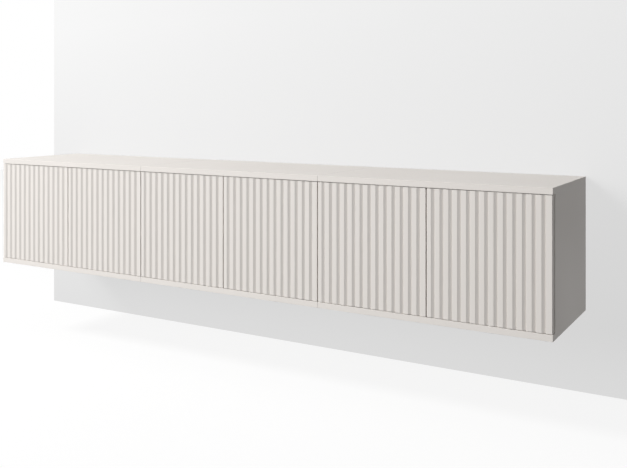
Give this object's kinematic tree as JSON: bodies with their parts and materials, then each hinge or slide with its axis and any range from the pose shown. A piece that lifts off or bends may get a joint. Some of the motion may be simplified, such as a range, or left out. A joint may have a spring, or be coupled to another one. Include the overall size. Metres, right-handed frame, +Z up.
{
  "type": "wall-hung tv cabinet",
  "caption": "Long, low wall-hung television cabinet in matt cashmere grey, with vertically grooved handleless doors, shelves and cable outlets.",
  "frame": {"origin": "on the wall plane, midway between the two fixing holes of the middle module's hanging rail", "axes": "+X to the right as seen from the front, +Y into the wall, +Z up; the doors face -Y"},
  "size_m": [1.8, 0.325, 0.34],
  "materials": {
    "grooved_front": "matt lacquer on milled fibreboard",
    "lacquered_board": "matt lacquered board",
    "shelf_board": "matt melamine board",
    "back_board": "thin lacquered fibreboard",
    "plated_steel": "nickel or zinc plated",
    "latch_plastic": "fine matt",
    "dowel_wood": "raw beech"
  },
  "bodies": {
    "carcass": {"left_module_top_panel": "lacquered_board", "left_module_bottom_panel": "lacquered_board", "left_module_left_side": "lacquered_board", "left_module_right_side": "lacquered_board", "left_module_shelf": "shelf_board", "left_module_back_panel": "back_board", "left_module_hinge_arms": "plated_steel", "left_module_latch_housings": "latch_plastic", "middle_module_top_panel": "lacquered_board", "middle_module_bottom_panel": "lacquered_board", "middle_module_left_side": "lacquered_board", "middle_module_right_side": "lacquered_board", "middle_module_shelf": "shelf_board", "middle_module_back_panel": "back_board", "middle_module_hinge_arms": "plated_steel", "middle_module_latch_housings": "latch_plastic", "right_module_top_panel": "lacquered_board", "right_module_bottom_panel": "lacquered_board", "right_module_left_side": "lacquered_board", "right_module_right_side": "lacquered_board", "right_module_shelf": "shelf_board", "right_module_back_panel": "back_board", "right_module_hinge_arms": "plated_steel", "right_module_latch_housings": "latch_plastic", "wall_rails": "plated_steel", "hanger_brackets": "plated_steel", "hinge_mounting_plates": "plated_steel", "shelf_pins": "plated_steel", "cam_locks": "plated_steel", "cam_bolts": "plated_steel", "wooden_dowels": "dowel_wood", "module_sleeve_screws": "plated_steel", "cable_outlet_rings": "latch_plastic"},
    "left_module_left_door": {"left_module_left_door": "grooved_front", "left_module_left_door_hinge_cups": "plated_steel"},
    "left_module_left_door_hinge_links": {"left_module_left_door_hinge_links": "plated_steel"},
    "left_module_left_door_latch_plunger": {"left_module_left_door_latch_plunger": "latch_plastic"},
    "left_module_right_door": {"left_module_right_door": "grooved_front", "left_module_right_door_hinge_cups": "plated_steel"},
    "left_module_right_door_hinge_links": {"left_module_right_door_hinge_links": "plated_steel"},
    "left_module_right_door_latch_plunger": {"left_module_right_door_latch_plunger": "latch_plastic"},
    "middle_module_left_door": {"middle_module_left_door": "grooved_front", "middle_module_left_door_hinge_cups": "plated_steel"},
    "middle_module_left_door_hinge_links": {"middle_module_left_door_hinge_links": "plated_steel"},
    "middle_module_left_door_latch_plunger": {"middle_module_left_door_latch_plunger": "latch_plastic"},
    "middle_module_right_door": {"middle_module_right_door": "grooved_front", "middle_module_right_door_hinge_cups": "plated_steel"},
    "middle_module_right_door_hinge_links": {"middle_module_right_door_hinge_links": "plated_steel"},
    "middle_module_right_door_latch_plunger": {"middle_module_right_door_latch_plunger": "latch_plastic"},
    "right_module_left_door": {"right_module_left_door": "grooved_front", "right_module_left_door_hinge_cups": "plated_steel"},
    "right_module_left_door_hinge_links": {"right_module_left_door_hinge_links": "plated_steel"},
    "right_module_left_door_latch_plunger": {"right_module_left_door_latch_plunger": "latch_plastic"},
    "right_module_right_door": {"right_module_right_door": "grooved_front", "right_module_right_door_hinge_cups": "plated_steel"},
    "right_module_right_door_hinge_links": {"right_module_right_door_hinge_links": "plated_steel"},
    "right_module_right_door_latch_plunger": {"right_module_right_door_latch_plunger": "latch_plastic"}
  },
  "joints": [
    {"name": "left_module_left_door_swing", "type": "hinge", "parent": "carcass", "child": "left_module_left_door", "pos_m": [-0.8925, -0.321, -0.125], "axis": [0, 0, -1], "range_deg": [0, 90]},
    {"name": "left_module_left_door_link_swing", "type": "hinge", "parent": "carcass", "child": "left_module_left_door_hinge_links", "pos_m": [-0.8575, -0.304, -0.125], "axis": [0, 0, -1], "range_deg": [-30, 0]},
    {"name": "left_module_left_door_latch_stroke", "type": "slide", "parent": "carcass", "child": "left_module_left_door_latch_plunger", "axis": [0, -1, 0], "range_m": [0, 0.0381]},
    {"name": "left_module_right_door_swing", "type": "hinge", "parent": "carcass", "child": "left_module_right_door", "pos_m": [-0.3075, -0.321, -0.125], "axis": [0, 0, 1], "range_deg": [0, 90]},
    {"name": "left_module_right_door_link_swing", "type": "hinge", "parent": "carcass", "child": "left_module_right_door_hinge_links", "pos_m": [-0.3425, -0.304, -0.125], "axis": [0, 0, 1], "range_deg": [-30, 0]},
    {"name": "left_module_right_door_latch_stroke", "type": "slide", "parent": "carcass", "child": "left_module_right_door_latch_plunger", "axis": [0, -1, 0], "range_m": [0, 0.0381]},
    {"name": "middle_module_left_door_swing", "type": "hinge", "parent": "carcass", "child": "middle_module_left_door", "pos_m": [-0.2925, -0.321, -0.125], "axis": [0, 0, -1], "range_deg": [0, 90]},
    {"name": "middle_module_left_door_link_swing", "type": "hinge", "parent": "carcass", "child": "middle_module_left_door_hinge_links", "pos_m": [-0.2575, -0.304, -0.125], "axis": [0, 0, -1], "range_deg": [-30, 0]},
    {"name": "middle_module_left_door_latch_stroke", "type": "slide", "parent": "carcass", "child": "middle_module_left_door_latch_plunger", "axis": [0, -1, 0], "range_m": [0, 0.0381]},
    {"name": "middle_module_right_door_swing", "type": "hinge", "parent": "carcass", "child": "middle_module_right_door", "pos_m": [0.2925, -0.321, -0.125], "axis": [0, 0, 1], "range_deg": [0, 90]},
    {"name": "middle_module_right_door_link_swing", "type": "hinge", "parent": "carcass", "child": "middle_module_right_door_hinge_links", "pos_m": [0.2575, -0.304, -0.125], "axis": [0, 0, 1], "range_deg": [-30, 0]},
    {"name": "middle_module_right_door_latch_stroke", "type": "slide", "parent": "carcass", "child": "middle_module_right_door_latch_plunger", "axis": [0, -1, 0], "range_m": [0, 0.0381]},
    {"name": "right_module_left_door_swing", "type": "hinge", "parent": "carcass", "child": "right_module_left_door", "pos_m": [0.3075, -0.321, -0.125], "axis": [0, 0, -1], "range_deg": [0, 90]},
    {"name": "right_module_left_door_link_swing", "type": "hinge", "parent": "carcass", "child": "right_module_left_door_hinge_links", "pos_m": [0.3425, -0.304, -0.125], "axis": [0, 0, -1], "range_deg": [-30, 0]},
    {"name": "right_module_left_door_latch_stroke", "type": "slide", "parent": "carcass", "child": "right_module_left_door_latch_plunger", "axis": [0, -1, 0], "range_m": [0, 0.0381]},
    {"name": "right_module_right_door_swing", "type": "hinge", "parent": "carcass", "child": "right_module_right_door", "pos_m": [0.8925, -0.321, -0.125], "axis": [0, 0, 1], "range_deg": [0, 90]},
    {"name": "right_module_right_door_link_swing", "type": "hinge", "parent": "carcass", "child": "right_module_right_door_hinge_links", "pos_m": [0.8575, -0.304, -0.125], "axis": [0, 0, 1], "range_deg": [-30, 0]},
    {"name": "right_module_right_door_latch_stroke", "type": "slide", "parent": "carcass", "child": "right_module_right_door_latch_plunger", "axis": [0, -1, 0], "range_m": [0, 0.0381]}
  ],
  "couplings": [
    {"joint": "left_module_left_door_link_swing", "follows": "left_module_left_door_swing", "ratio": -0.33},
    {"joint": "left_module_left_door_latch_stroke", "follows": "left_module_left_door_swing", "m_per_rad": 0.024192},
    {"joint": "left_module_right_door_link_swing", "follows": "left_module_right_door_swing", "ratio": -0.33},
    {"joint": "left_module_right_door_latch_stroke", "follows": "left_module_right_door_swing", "m_per_rad": 0.024192},
    {"joint": "middle_module_left_door_link_swing", "follows": "middle_module_left_door_swing", "ratio": -0.33},
    {"joint": "middle_module_left_door_latch_stroke", "follows": "middle_module_left_door_swing", "m_per_rad": 0.024192},
    {"joint": "middle_module_right_door_link_swing", "follows": "middle_module_right_door_swing", "ratio": -0.33},
    {"joint": "middle_module_right_door_latch_stroke", "follows": "middle_module_right_door_swing", "m_per_rad": 0.024192},
    {"joint": "right_module_left_door_link_swing", "follows": "right_module_left_door_swing", "ratio": -0.33},
    {"joint": "right_module_left_door_latch_stroke", "follows": "right_module_left_door_swing", "m_per_rad": 0.024192},
    {"joint": "right_module_right_door_link_swing", "follows": "right_module_right_door_swing", "ratio": -0.33},
    {"joint": "right_module_right_door_latch_stroke", "follows": "right_module_right_door_swing", "m_per_rad": 0.024192}
  ]
}
